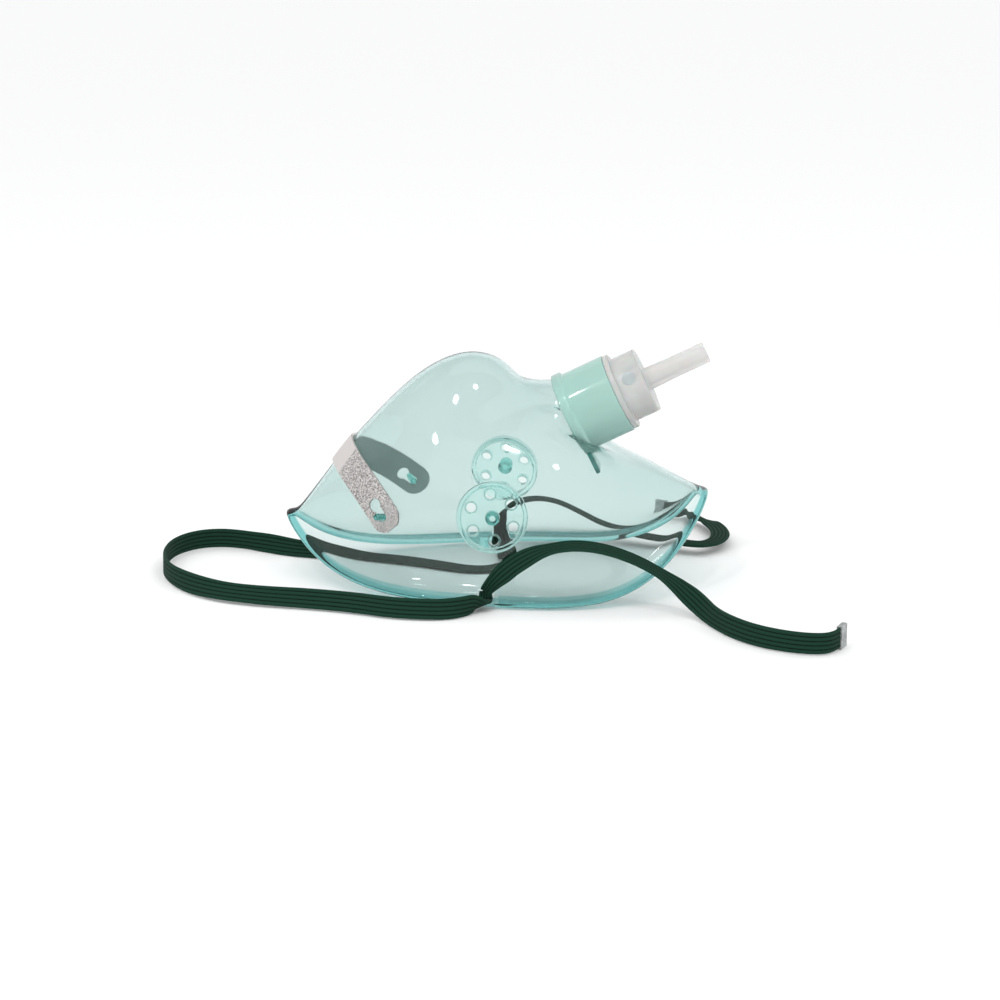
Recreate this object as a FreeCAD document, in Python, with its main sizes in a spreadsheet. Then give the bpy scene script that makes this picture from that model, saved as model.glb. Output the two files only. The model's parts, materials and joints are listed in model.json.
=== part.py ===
import FreeCAD, Part
import Sketcher
import math
import os

# An adult oxygen face mask, lying on the rim of its face opening. Millimetres, +Z up.
# X runs from the nose end (-) to the chin end (+), and the mask is a mirror image about the plane y = 0.
# The origin is on the table, under the middle of the mask, without its head strap.

Vector = FreeCAD.Vector
doc = FreeCAD.newDocument("oxygen_mask")
sheet = doc.addObject("Spreadsheet::Sheet", "Dims")

DIMENSIONS = [
    # the moulded shell
    ("rim_nose", 62.7, "rim centre line, reach towards the nose"),
    ("rim_chin", 62.2, "rim centre line, reach towards the chin"),
    ("rim_half_width", 37.6, "rim centre line, half of the width over the cheeks"),
    ("rim_widest", 14.0, "where along X the rim is widest"),
    ("rim_nose_height", 18.9, "rim centre line above the table, under the nose bridge"),
    ("rim_chin_height", 27.0, "rim centre line above the table, at the chin"),
    ("rim_low_height", 1.75, "rim centre line above the table, where it is lowest"),
    ("bead_radius", 1.15, "rolled bead of the rim"),
    ("skin", 1.3, "wall of the shell"),
    # the collar and the swivel connector in it
    ("collar_tilt", 26.0, "collar's axis above the horizontal, degrees"),
    ("collar_mouth", 36.1, "collar's mouth along X"),
    ("collar_mouth_height", 56.3, "collar's mouth above the table"),
    ("collar_length", 13.5, "from the base ring to the mouth"),
    ("collar_radius", 12.0, "outside"),
    ("collar_bore", 10.7, "inside radius"),
    ("base_ring_radius", 12.9, "ring round the collar's root"),
    ("base_ring_length", 2.6, "ring along the axis"),
    ("tab_width", 12.0, "flat tab inside the shell, at the collar's root"),
    ("tab_gauge", 1.3, "thickness of the tab"),
    ("tab_reach", 18.5, "tab's end, from the collar's axis"),
    ("plug_radius", 10.64, "connector's plug, running in the bore"),
    ("plug_length", 11.0, "plug inside the collar"),
    ("plug_wall", 1.2, "wall of the plug and cap"),
    ("flange_radius", 11.7, "connector's stop flange"),
    ("flange_length", 1.7, "flange along the axis"),
    ("cap_radius", 9.85, "connector's cap"),
    ("cap_length", 7.6, "cap beyond the flange"),
    ("nozzle_root", 3.4, "nozzle's radius at the cap"),
    ("nozzle_radius", 3.1, "nozzle's radius where the tubing goes on"),
    ("nozzle_taper", 8.0, "tapered length of the nozzle"),
    ("nozzle_length", 19.2, "whole length of the nozzle"),
    ("nozzle_bore", 1.7, "gas way, radius"),
    ("rib", 1.0, "thickness of the ribs inside the cap"),
    ("mark_radius", 2.0, "round moulding mark on the cap"),
    # the exhalation ports
    ("port_radius", 10.35, "raised ring of an exhalation port, outside"),
    ("port_ring", 1.45, "thickness of the raised ring"),
    ("port_height", 3.6, "raised ring along its axis"),
    ("port_plate", 1.4, "perforated plate in the ring"),
    ("port_hole", 1.4, "radius of an exhalation hole"),
    ("port_circle", 6.7, "radius of the circle of holes"),
    ("port_stud", 2.2, "radius of the middle stud"),
    ("port_stud_length", 5.2, "stud, out of the plate"),
    # the nose clip and its pegs
    ("clip_width", 9.2, "aluminium strip"),
    ("clip_gauge", 0.8, "thickness of the strip"),
    ("clip_gap", 0.2, "between the strip and the shell"),
    ("peg_radius", 1.05, "moulded peg that holds the clip"),
    ("peg_length", 5.4, "peg, out of the middle of the wall"),
    # the head strap
    ("strap_tube", 1.3, "radius of the plain tubes that stand for the flat elastic"),
    ("strap_width", 6.0, "flat elastic"),
    ("tag_gauge", 1.5, "metal tag crimped on a strap end"),
    ("tag_length", 4.6, "tag along the strap"),
    ("slot_width", 5.2, "strap slot in the flare, along X"),
    ("slot_depth", 3.4, "strap slot in the flare, along Y"),
]
for row, (alias, value, note) in enumerate(DIMENSIONS, start=1):
    sheet.set(f"A{row}", note)
    sheet.set(f"B{row}", str(value))
    sheet.setAlias(f"B{row}", alias)
doc.recompute()


def dim(alias):
    return float(sheet.get(alias))


def bind(obj, **expressions):
    """Binds properties of an object to expressions over the sheet."""
    for name, expression in expressions.items():
        obj.setExpression(name, expression)
    return obj


def primitive(kind, name, placement=None, **expressions):
    obj = bind(doc.addObject(kind, name), **expressions)
    if placement is not None:
        obj.Placement = placement
    return obj


def cut(name, base, tool):
    obj = doc.addObject("Part::Cut", name)
    obj.Base, obj.Tool = base, tool
    return obj


def fuse(name, shapes):
    obj = doc.addObject("Part::MultiFuse", name)
    obj.Shapes = shapes
    return obj


# ---- the frame of the collar: its axis is local Z, and its origin is the centre of the collar's mouth ----
TILT = math.radians(dim("collar_tilt"))
COLLAR_AXIS = Vector(math.cos(TILT), 0, math.sin(TILT))
COLLAR_DOWN = Vector(math.sin(TILT), 0, -math.cos(TILT))
MOUTH = Vector(dim("collar_mouth"), 0, dim("collar_mouth_height"))
COLLAR_TURN = FreeCAD.Rotation(Vector(1, 0, 0), Vector(0, 1, 0), COLLAR_AXIS, "ZYX")


def on_collar(along):
    """A placement on the collar's axis, so far out of its mouth."""
    return FreeCAD.Placement(MOUTH + COLLAR_AXIS * along, COLLAR_TURN)


# ---- the moulded skin: rings from the rim up to the collar, a smooth surface over their points ----
COLUMNS = 32
COLLAR_ROOT = MOUTH - COLLAR_AXIS * (dim("collar_length") + 1.0)
NECK_INSET = 0.15
NECK = dim("collar_radius") - dim("skin") / 2 - NECK_INSET

# Each ring: (x, z) at the nose end, (x, y, z) at the cheek, (x, z) at the chin end,
# how late it rises to the nose and to the chin, and how pointed its nose end is.
RINGS = [
    ((-dim("rim_nose"), dim("rim_nose_height")),
     (dim("rim_widest"), dim("rim_half_width"), dim("rim_low_height")),
     (dim("rim_chin"), dim("rim_chin_height")), 6.0, 3.5, 1.45),
    ((-61.6, 19.2), (14.0, 35.3, 2.7), (61.2, 27.4), 6.0, 3.5, 1.45),
    ((-60.0, 19.8), (14.0, 32.9, 4.9), (60.2, 28.2), 5.6, 3.4, 1.4),
    ((-56.6, 24.0), (13.5, 32.0, 10.0), (57.4, 29.2), 4.6, 3.1, 1.3),
    ((-50.6, 31.8), (12.0, 31.4, 17.0), (52.8, 31.4), 3.8, 2.9, 1.2),
    ((-44.4, 40.2), (10.0, 30.2, 24.5), (48.5, 33.5), 3.3, 2.7, 1.15),
    ((-37.0, 48.2), (9.0, 28.4, 31.5), (44.4, 35.5), 2.9, 2.5, 1.1),
    ((-29.0, 56.6), (9.0, 25.8, 38.0), (39.8, 36.8), 2.6, 2.3, 1.05),
    ((-19.4, 64.6), (10.0, 22.4, 43.0), (36.4, 38.2), 2.4, 2.1, 1.0),
    ((-8.0, 69.0), (12.0, 18.8, 46.6), (33.6, 39.4), 2.2, 1.9, 1.0),
    ((1.6, 66.0), (14.6, 15.6, 48.4), (31.4, 39.8), 1.9, 1.7, 1.0),
    ((5.4, 60.2), (17.2, 13.6, 49.0), (29.8, 39.2), 1.5, 1.4, 1.0),
    ((10.6, 59.2), (19.4, 12.5, 49.2), (28.8, 38.6), 1.25, 1.2, 1.0),
]


def ring_point(ring, column):
    (nose_x, nose_z), (side_x, side_y, side_z), (chin_x, chin_z), late_nose, late_chin, pointed = ring
    turn = 2 * math.pi * column / COLUMNS
    along, across = math.cos(turn), math.sin(turn)
    if along >= 0:
        end_x, end_z, late, sharp = chin_x, chin_z, late_chin, 1.0
    else:
        end_x, end_z, late, sharp = nose_x, nose_z, late_nose, pointed
    return Vector(
        side_x + (end_x - side_x) * abs(along),
        side_y * math.copysign(abs(across) ** sharp, across),
        side_z + (end_z - side_z) * abs(along) ** late,
    )


def neck_point(along, radius, column):
    """A point of a round ring of the neck, so far from the collar's root."""
    turn = 2 * math.pi * column / COLUMNS
    centre = COLLAR_ROOT + COLLAR_AXIS * along
    return centre + COLLAR_DOWN * (radius * math.cos(turn)) + Vector(0, radius * math.sin(turn), 0)


def middle_net():
    """Rows of points half way through the wall, from the rim to the collar's root."""
    rows = [[ring_point(ring, column) for column in range(COLUMNS)] for ring in RINGS]
    for along in (-2.2, 0.0):
        rows.append([neck_point(along, NECK, column) for column in range(COLUMNS)])
    return rows


def net_normals(rows):
    """The outward direction at each point of the net."""
    normals = []
    for i, row in enumerate(rows):
        below, above = rows[max(i - 1, 0)], rows[min(i + 1, len(rows) - 1)]
        line = []
        for j in range(COLUMNS):
            rise = above[j] - below[j]
            around = row[(j + 1) % COLUMNS] - row[j - 1]
            line.append(around.cross(rise).normalize())
        normals.append(line)
    return normals


def bead_rows(rows, normals):
    """Four rows of points that wrap the rolled bead round the rim, from outside to inside."""
    radius = dim("bead_radius") * 1.12
    wrap = []
    for side, reach in ((1, -0.5), (1, 1.1), (-1, 1.1), (-1, -0.5)):
        line = []
        for j in range(COLUMNS):
            outward = (rows[0][j] - rows[1][j]).normalize()
            line.append(rows[0][j] + normals[0][j] * (side * radius) + outward * (reach * radius))
        wrap.append(line)
    return wrap


def smooth_skin(net):
    """A cubic surface over a net of points, clamped along its first direction and closed round its second."""
    rows = len(net)
    inner = rows - 4
    surface = Part.BSplineSurface()
    surface.buildFromPolesMultsKnots(
        net, [4] + [1] * inner + [4], [1] * (COLUMNS + 1),
        list(range(inner + 2)), list(range(COLUMNS + 1)), False, True, 3, 3,
    )
    return surface


def moulded_skin():
    """The closed skin of the shell: out along the outside, round the bead and back along the inside."""
    rows = middle_net()
    normals = net_normals(rows)
    half = dim("skin") / 2
    outside = [[p + n * half for p, n in zip(row, line)] for row, line in zip(rows, normals)]
    inside = [[p - n * half for p, n in zip(row, line)] for row, line in zip(rows, normals)]
    net = outside[:1:-1] + bead_rows(rows, normals) + inside[2:]
    skin = smooth_skin(net).toShape()
    edges = [e for e in skin.Edges if e.isClosed() and not e.isSeam(skin.Faces[0])]
    end = Part.makeRuledSurface(Part.Wire(edges[0]), Part.Wire(edges[1]))
    shell = Part.Shell(skin.Faces + end.Faces)
    shell.sewShape()
    solid = Part.Solid(shell)
    if solid.Volume < 0:
        solid.reverse()
    return solid


skin = doc.addObject("Part::Feature", "MouldedSkin")
skin.Shape = moulded_skin()
outer_surface = smooth_skin([
    [p + n * (dim("skin") / 2) for p, n in zip(row, line)]
    for row, line in zip(middle_net(), net_normals(middle_net()))
])


def on_shell(point):
    """The nearest point of the shell's outer surface, and the outward direction there."""
    u, v = outer_surface.parameter(point)
    place, normal = outer_surface.value(u, v), outer_surface.normal(u, v)
    if normal.dot(place - Vector(0, 0, 20)) < 0:
        normal = -normal
    return place, normal


# ---- the collar: a round socket on the neck ----
collar_tube = primitive(
    "Part::Cylinder", "CollarTube", on_collar(-dim("collar_length") - 1.6),
    Radius="Dims.collar_radius", Height="Dims.collar_length + 1.6",
)
base_ring = primitive(
    "Part::Cylinder", "BaseRing", on_collar(-dim("collar_length") - dim("base_ring_length")),
    Radius="Dims.base_ring_radius", Height="Dims.base_ring_length",
)
collar_bore = primitive(
    "Part::Cylinder", "CollarBore", on_collar(-dim("collar_length") - dim("base_ring_length") - 0.5),
    Radius="Dims.collar_bore", Height="Dims.collar_length + Dims.base_ring_length + 1.5",
)
tab = primitive("Part::Box", "RootTab", Width="Dims.tab_width", Height="Dims.tab_gauge")
bind(tab, Length="Dims.tab_reach - Dims.collar_radius + 0.6")
tab.Placement = on_collar(-dim("collar_length") - dim("base_ring_length") + 0.3) * FreeCAD.Placement(
    Vector(dim("collar_radius") - 0.6, -dim("tab_width") / 2, 0), FreeCAD.Rotation()
)
collar = cut("Collar", fuse("CollarOutside", [collar_tube, base_ring, tab]), collar_bore)


# ---- the exhalation ports: a raised ring, a perforated plate and a stud, on each cheek ----
PORT_CENTRE = Vector(0.6, 31.0, 25.6)
PORT_AXIS = Vector(0.08, 0.985, 0.15).normalize()


def mirrored(vector, side):
    return Vector(vector.x, side * vector.y, vector.z)


def port_placement(side, along, turn=0.0, out=0.0):
    """A placement on a port's axis; out is the distance from the axis, in the direction turn (degrees)."""
    axis = mirrored(PORT_AXIS, side)
    rotation = FreeCAD.Rotation(Vector(1, 0, 0), Vector(0, 0, 1), axis, "ZYX")
    angle = math.radians(turn)
    offset = rotation.multVec(Vector(math.cos(angle) * out, math.sin(angle) * out, 0))
    return FreeCAD.Placement(mirrored(PORT_CENTRE, side) + axis * along + offset, rotation)


def exhalation_port(side, word):
    """The ring, plate and stud of one port, and what they displace in the shell."""
    half_plate = dim("port_plate") / 2
    clearing = primitive("Part::Cylinder", f"PortClearing{word}", port_placement(side, -5.0), Height="10")
    bind(clearing, Radius="Dims.port_radius - 0.4")
    ring = primitive("Part::Cylinder", f"PortRing{word}", port_placement(side, -dim("port_height") / 2))
    bind(ring, Radius="Dims.port_radius", Height="Dims.port_height")
    recess = primitive("Part::Cylinder", f"PortRecess{word}", port_placement(side, half_plate), Height="10")
    bind(recess, Radius="Dims.port_radius - Dims.port_ring")
    under = primitive("Part::Cylinder", f"PortUnder{word}", port_placement(side, -10 - half_plate))
    bind(under, Height="10", Radius="Dims.port_radius - Dims.port_ring")
    stud = primitive("Part::Cylinder", f"PortStud{word}", port_placement(side, 0.0))
    bind(stud, Radius="Dims.port_stud", Height="Dims.port_stud_length + Dims.port_plate / 2")
    holes = []
    for number in range(6):
        place = port_placement(side, -5.0, 34.5 + 60 * number, dim("port_circle"))
        hole = primitive("Part::Cylinder", f"PortHole{word}{number}", place, Height="10")
        holes.append(bind(hole, Radius="Dims.port_hole"))
    hollowed = cut(f"PortHollowed{word}", ring, fuse(f"PortHollows{word}", [recess, under]))
    drilled = cut(f"PortDrilled{word}", hollowed, fuse(f"PortHoles{word}", holes))
    return clearing, drilled, stud


# ---- the pegs that hold the nose clip, and the slots of the head strap ----
PEG_NEAR = Vector(-32.0, -21.5, 22.7)
PEG_FAR = Vector(-26.7, 21.5, 22.8)
SLOT_X = -1.0


def peg_guide(side):
    """A point beside the peg. The far peg sits a little nearer to the chin, so the clip lies askew."""
    return PEG_FAR if side > 0 else PEG_NEAR


def clip_peg(side, word):
    place, normal = on_shell(peg_guide(side))
    peg = primitive("Part::Cylinder", f"ClipPeg{word}", Radius="Dims.peg_radius", Height="Dims.peg_length")
    start = place - normal * (dim("skin") / 2)
    peg.Placement = FreeCAD.Placement(start, FreeCAD.Rotation(Vector(0, 0, 1), normal))
    return peg


def strap_slot(side, word):
    """An upright slot through the flare, just inside the bead."""
    slot = primitive("Part::Box", f"StrapSlot{word}", Length="Dims.slot_width", Width="Dims.slot_depth")
    bind(slot, Height="5.4")
    inner = dim("rim_half_width") - dim("bead_radius") - dim("slot_depth")
    near_y = inner if side > 0 else -inner - dim("slot_depth")
    slot.Placement.Base = Vector(SLOT_X - dim("slot_width") / 2, near_y, 0)
    return slot


SIDES = ((-1, "Near"), (1, "Far"))
ports = [exhalation_port(side, word) for side, word in SIDES]
opened_skin = cut("OpenedSkin", skin, fuse("PortClearings", [port[0] for port in ports]))
slots = [strap_slot(side, word) for side, word in SIDES]
bored_skin = cut("BoredSkin", opened_skin, fuse("BoreAndSlots", [collar_bore] + slots))
mask_shell = fuse(
    "MaskShell",
    [bored_skin, collar]
    + [piece for port in ports for piece in port[1:]]
    + [clip_peg(side, word) for side, word in SIDES],
)
mask_shell.Label = "mask_shell"


# ---- the nose clip: a flat aluminium strip bent over the bridge of the nose ----
CLIP_RIDGE = Vector(-45.2, 0, 38.2)
CLIP_ACROSS = Vector(0.64, 0, 0.77)
CLIP_OVERHANG = 0.17
CLIP_STATIONS = 17


def clip_guide(station):
    """A point near the strip's middle line: station 0 on the ridge, and -1 and 1 past the pegs."""
    end = peg_guide(1 if station > 0 else -1)
    end = end + (end - CLIP_RIDGE) * CLIP_OVERHANG
    bulge = Vector(0, math.copysign(3.2, station), 1.0) * math.sin(math.pi * abs(station))
    return CLIP_RIDGE + (end - CLIP_RIDGE) * abs(station) + bulge


def clip_point(station, edge, height):
    """A point of the strip: station along it, edge from -1 to 1 across it, height above the shell."""
    place, normal = on_shell(clip_guide(station))
    forward = clip_guide(min(station + 0.02, 1.0)) - clip_guide(max(station - 0.02, -1.0))
    across = CLIP_ACROSS if abs(station) < 0.04 else forward.cross(normal) * math.copysign(1.0, CLIP_ACROSS.x)
    across.normalize()
    if across.dot(CLIP_ACROSS) < 0:
        across = -across
    place, normal = on_shell(place + across * (edge * dim("clip_width") / 2))
    return place + normal * height


def clip_strip():
    low = dim("clip_gap")
    high = low + dim("clip_gauge")
    stations = [-1 + 2 * i / (CLIP_STATIONS - 1) for i in range(CLIP_STATIONS)]
    faces = []
    for height in (low, high):
        face = Part.BSplineSurface()
        face.interpolate([[clip_point(s, e, height) for e in (-1, -0.33, 0.33, 1)] for s in stations])
        faces.append(face.toShape())
    sides = [
        Part.makeRuledSurface(a, b)
        for a, b in zip(faces[0].Faces[0].OuterWire.Edges, matching_edges(faces))
    ]
    shell = Part.Shell(faces[0].Faces + faces[1].Faces + [f for side in sides for f in side.Faces])
    shell.sewShape()
    solid = Part.Solid(shell)
    if solid.Volume < 0:
        solid.reverse()
    return solid


def matching_edges(faces):
    """The edges of the upper face, in the order of the lower face's nearest ones."""
    upper = faces[1].Faces[0].OuterWire.Edges
    return [
        min(upper, key=lambda other: (other.CenterOfMass - edge.CenterOfMass).Length)
        for edge in faces[0].Faces[0].OuterWire.Edges
    ]


def clip_end_tool(side):
    """What is left of a square end once it is rounded: a thick washer's outside."""
    place, normal = on_shell(clip_point(side * 0.86, 0, 0))
    radius = dim("clip_width") / 2
    turn = FreeCAD.Rotation(Vector(0, 0, 1), normal)
    block = Part.makeCylinder(radius * 2.2, 8)
    block = block.cut(Part.makeCylinder(radius, 8))
    block.Placement = FreeCAD.Placement(place - normal * 4, turn)
    inward = (clip_point(side * 0.6, 0, 0) - place).normalize()
    keep = Part.makeCylinder(radius * 3, radius * 3)
    keep.Placement = FreeCAD.Placement(place, FreeCAD.Rotation(Vector(0, 0, 1), inward))
    return block.cut(keep)


def keyhole(side):
    """The keyhole that slips over a peg: a round end, and a narrower slot towards the nose."""
    place, normal = on_shell(peg_guide(side))
    turn = FreeCAD.Rotation(Vector(0, 0, 1), normal)
    slot_radius = dim("peg_radius") + 0.3
    wide_radius = dim("peg_radius") + 0.9
    towards = clip_point(side * 0.45, 0, 0) - place
    towards = (towards - normal * towards.dot(normal)).normalize()
    tools = []
    for step in range(5):
        hole = Part.makeCylinder(wide_radius if step == 4 else slot_radius, 8)
        hole.Placement = FreeCAD.Placement(place + towards * (step * 1.1) - normal * 4, turn)
        tools.append(hole)
    return tools[0].multiFuse(tools[1:])


def nose_clip():
    strip = clip_strip()
    for side, _ in SIDES:
        strip = strip.cut(clip_end_tool(side))
        strip = strip.cut(keyhole(side))
    return strip.Solids[0]


clip = doc.addObject("Part::Feature", "NoseClip")
clip.Shape = nose_clip()
clip.Label = "nose_clip"


# ---- the swivel connector: a plug in the collar, a stop flange, a cap and the nozzle for the gas tubing ----
def origin_plane(body, role):
    return [feature for feature in body.Origin.OriginFeatures if feature.Role == role][0]


def turned_profile(body, name, corners):
    """A closed sketch in the body's XZ plane. Each corner is ((radius, height), (expression, expression))."""
    sketch = body.newObject("Sketcher::SketchObject", name)
    sketch.AttachmentSupport = (origin_plane(body, "XZ_Plane"), [""])
    sketch.MapMode = "FlatFace"
    points = [Vector(numbers[0], numbers[1], 0) for numbers, _ in corners]
    for start, end in zip(points, points[1:] + points[:1]):
        sketch.addGeometry(Part.LineSegment(start, end), False)
    count = len(corners)
    for i in range(count):
        sketch.addConstraint(Sketcher.Constraint("Coincident", i, 2, (i + 1) % count, 1))
    for i, (numbers, expressions) in enumerate(corners):
        for kind, value, expression in zip(("DistanceX", "DistanceY"), numbers, expressions):
            index = sketch.addConstraint(Sketcher.Constraint(kind, -1, 1, i, 1, value))
            sketch.setExpression(f"Constraints[{index}]", expression)
    return sketch


def corner(radius, height):
    """A corner given as two lists of (sign, alias) terms, as numbers and as expressions over the sheet."""
    numbers = tuple(sum(sign * dim(alias) for sign, alias in terms) for terms in (radius, height))
    expressions = tuple(
        " ".join(f"{'+' if sign > 0 else '-'} Dims.{alias}" for sign, alias in terms).lstrip("+ ") or "0"
        for terms in (radius, height)
    )
    return numbers, expressions


def plus(*aliases):
    return [(1, alias) for alias in aliases]


def minus(*aliases):
    return [(-1, alias) for alias in aliases]


def swivel_connector():
    body = doc.addObject("PartDesign::Body", "SwivelConnector")
    tip = plus("flange_length", "cap_length", "nozzle_length")
    cap_end = plus("flange_length", "cap_length")
    taper_end = plus("flange_length", "cap_length", "nozzle_taper")
    plug_bore = plus("plug_radius") + minus("plug_wall")
    cap_bore = plus("cap_radius") + minus("plug_wall")
    corners = [
        corner(plus("nozzle_bore"), tip),
        corner(plus("nozzle_radius"), tip),
        corner(plus("nozzle_radius"), taper_end),
        corner(plus("nozzle_root"), cap_end),
        corner(plus("cap_radius"), cap_end),
        corner(plus("cap_radius"), plus("flange_length")),
        corner(plus("flange_radius"), plus("flange_length")),
        corner(plus("flange_radius"), []),
        corner(plus("plug_radius"), []),
        corner(plus("plug_radius"), minus("plug_length")),
        corner(plug_bore, minus("plug_length")),
        corner(plug_bore, minus("plug_wall")),
        corner(cap_bore, []),
        corner(cap_bore, cap_end + minus("plug_wall")),
        corner(plus("nozzle_bore"), cap_end + minus("plug_wall")),
    ]
    profile = turned_profile(body, "ConnectorProfile", corners)
    turned = body.newObject("PartDesign::Revolution", "ConnectorTurned")
    turned.Profile = profile
    turned.ReferenceAxis = (profile, ["V_Axis"])
    turned.Angle = 360
    body.Tip = turned
    body.Placement = on_collar(0)
    return body


def connector_ribs():
    """Four ribs across the inside of the cap, with the gas way left open in the middle."""
    ribs = []
    for number in range(2):
        rib = primitive("Part::Box", f"Rib{number}", Length="2 * (Dims.cap_radius - Dims.plug_wall / 2)")
        bind(rib, Width="Dims.rib", Height="Dims.cap_length * 0.5")
        turn = FreeCAD.Rotation(Vector(0, 0, 1), 45 + 90 * number)
        start = Vector(-(dim("cap_radius") - dim("plug_wall") / 2), -dim("rib") / 2, 0)
        base = Vector(0, 0, dim("flange_length") + dim("cap_length") * 0.5 - dim("plug_wall"))
        rib.Placement = on_collar(0) * FreeCAD.Placement(base + turn.multVec(start), turn)
        ribs.append(rib)
    way = primitive("Part::Cylinder", "GasWay", on_collar(-5), Radius="Dims.nozzle_bore", Height="40")
    return cut("Ribs", fuse("RibCross", ribs), way)


def moulding_mark():
    """A shallow round mark sunk in the cap, on its near side and 25 degrees up from level."""
    depth = 0.35
    round_cap = FreeCAD.Placement(Vector(), FreeCAD.Rotation(Vector(0, 0, 1), -25))
    facing_out = FreeCAD.Rotation(Vector(0, 0, 1), Vector(0, -1, 0))
    middle = Vector(0, -dim("cap_radius") + depth, dim("flange_length") + dim("cap_length") / 2)
    return primitive(
        "Part::Cylinder", "MouldingMark", on_collar(0) * round_cap * FreeCAD.Placement(middle, facing_out),
        Radius="Dims.mark_radius", Height="4",
    )


ribbed_connector = fuse("RibbedConnector", [swivel_connector(), connector_ribs()])
connector = cut("MarkedConnector", ribbed_connector, moulding_mark())
connector.Label = "swivel_connector"


# ---- the head strap: plain tubes along the way that the flat elastic lies ----
NEAR_SLOT = Vector(SLOT_X, -35.3, 7.2)
FAR_SLOT = Vector(SLOT_X, 35.3, 7.2)
LEVEL = 3.0

HEAD_LOOP = [
    NEAR_SLOT, Vector(SLOT_X, -35.1, 4.8), Vector(-1, -35.9, 2), Vector(-1.4, -38.8, 1.4),
    Vector(-3.4, -42.8, 1.6), Vector(-8, -47.4, 2.2), Vector(-16, -49.6, LEVEL),
    Vector(-27, -48.4, LEVEL), Vector(-39, -43.4, LEVEL), Vector(-52, -40.4, LEVEL),
    Vector(-66, -38, LEVEL), Vector(-79.5, -33.6, LEVEL), Vector(-91, -25, LEVEL),
    Vector(-98.6, -13, LEVEL), Vector(-101.6, 1, LEVEL), Vector(-100.8, 14, LEVEL),
    Vector(-94.6, 23.6, LEVEL), Vector(-84, 25.4, LEVEL), Vector(-72, 20, LEVEL),
    Vector(-59, 16, LEVEL), Vector(-44, 14.6, LEVEL), Vector(-30, 11.2, LEVEL), Vector(-17.6, 6, LEVEL),
    Vector(-8, 1.4, LEVEL), Vector(0.4, 3.4, LEVEL), Vector(2.8, 10, LEVEL), Vector(2, 19, 2.6),
    Vector(0.2, 26.6, 2.1), Vector(-0.7, 31.6, 1.4), Vector(-1, 34.4, 2), Vector(SLOT_X, 35.3, 4.6),
    FAR_SLOT,
]
NEAR_TAIL = [
    NEAR_SLOT, Vector(1.2, -35.9, 9.6), Vector(4.8, -36.8, 12.6), Vector(9.8, -37.2, 15.6),
    Vector(15.6, -37.2, 18), Vector(23, -37, 19.2), Vector(31, -37, 18.8), Vector(39, -37.2, 16.6),
    Vector(46.6, -37.6, 13.2), Vector(53, -38.6, 9.2), Vector(58.2, -41.4, 5.6),
    Vector(61.8, -46.8, 3.6), Vector(64.8, -54, LEVEL), Vector(69, -61.8, LEVEL),
    Vector(74.8, -68.8, LEVEL), Vector(82, -73.8, LEVEL), Vector(89.8, -76.4, LEVEL),
    Vector(95.8, -75.2, LEVEL), Vector(97.8, -70.4, LEVEL),
]
FAR_TAIL = [
    FAR_SLOT, Vector(-0.2, 36.4, 10.2), Vector(3.2, 38.2, 12.8), Vector(9.4, 40.4, 14),
    Vector(16.6, 41.6, 12.8), Vector(23.6, 42, 9.4), Vector(31, 41.4, 5.6), Vector(39.4, 38.4, 3.4),
    Vector(48.4, 33.8, LEVEL), Vector(56.2, 28.4, LEVEL), Vector(62.6, 26.4, LEVEL),
    Vector(67, 31.4, LEVEL), Vector(68.6, 40, LEVEL), Vector(67.2, 50, LEVEL), Vector(63, 59.4, LEVEL),
    Vector(57.6, 66.8, LEVEL), Vector(52, 72, LEVEL),
]


def rounded_path(points, name):
    """Straight runs joined by tangent arcs, each as large as its two runs allow. Prints the arcs' radii."""
    edges, radii = [], []
    start = points[0]
    for before, here, after in zip(points, points[1:], points[2:]):
        back, ahead = before - here, after - here
        shorter = min(back.Length, ahead.Length)
        back.normalize()
        ahead.normalize()
        half_turn = (math.pi - back.getAngle(ahead)) / 2
        reach = 0.45 * shorter
        radius = reach / math.tan(half_turn)
        first, last = here + back * reach, here + ahead * reach
        towards = (back + ahead).normalize()
        middle = here + towards * (radius / math.cos(half_turn) - radius)
        edges.append(Part.LineSegment(start, first).toShape())
        edges.append(Part.Arc(first, middle, last).toShape())
        radii.append(round(radius, 1))
        start = last
    edges.append(Part.LineSegment(start, points[-1]).toShape())
    print(name, "radii", radii)
    return Part.Wire(edges)


def strap_stretch(points, label):
    """A plain tube along one stretch of the strap."""
    path = rounded_path(points, label)
    direction = (points[1] - points[0]).normalize()
    radius = dim("strap_tube")
    section = Part.Wire(Part.makeCircle(radius, points[0], direction))
    tube = path.makePipeShell([section], True, True)
    expected = math.pi * radius ** 2 * path.Length
    print(label, "length", round(path.Length, 1))
    print(label, "volume over section times length", round(tube.Volume / expected, 4))
    obj = doc.addObject("Part::Feature", label)
    obj.Shape = tube
    obj.Label = label
    return obj


loop = strap_stretch(HEAD_LOOP, "strap_head_loop")
near_tail = strap_stretch(NEAR_TAIL, "strap_near_tail")
far_tail = strap_stretch(FAR_TAIL, "strap_far_tail")


def strap_tag(route, label):
    """The metal tag crimped over a strap's free end, standing on edge as the strap does."""
    tag = primitive("Part::Box", label + "_box")
    bind(tag, Length="Dims.tag_length", Width="Dims.tag_gauge", Height="Dims.strap_width + 0.4")
    along = (route[-1] - route[-2]).normalize()
    turn = FreeCAD.Rotation(along, Vector(-along.y, along.x, 0), Vector(0, 0, 1), "XZY")
    offset = turn.multVec(Vector(0, -dim("tag_gauge") / 2, -dim("strap_width") / 2 - 0.2))
    height = Vector(0, 0, dim("strap_width") / 2 + 0.2 - LEVEL + 0.05)
    tag.Placement = FreeCAD.Placement(route[-1] + offset + height, turn)
    tag.Label = label
    return tag


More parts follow.
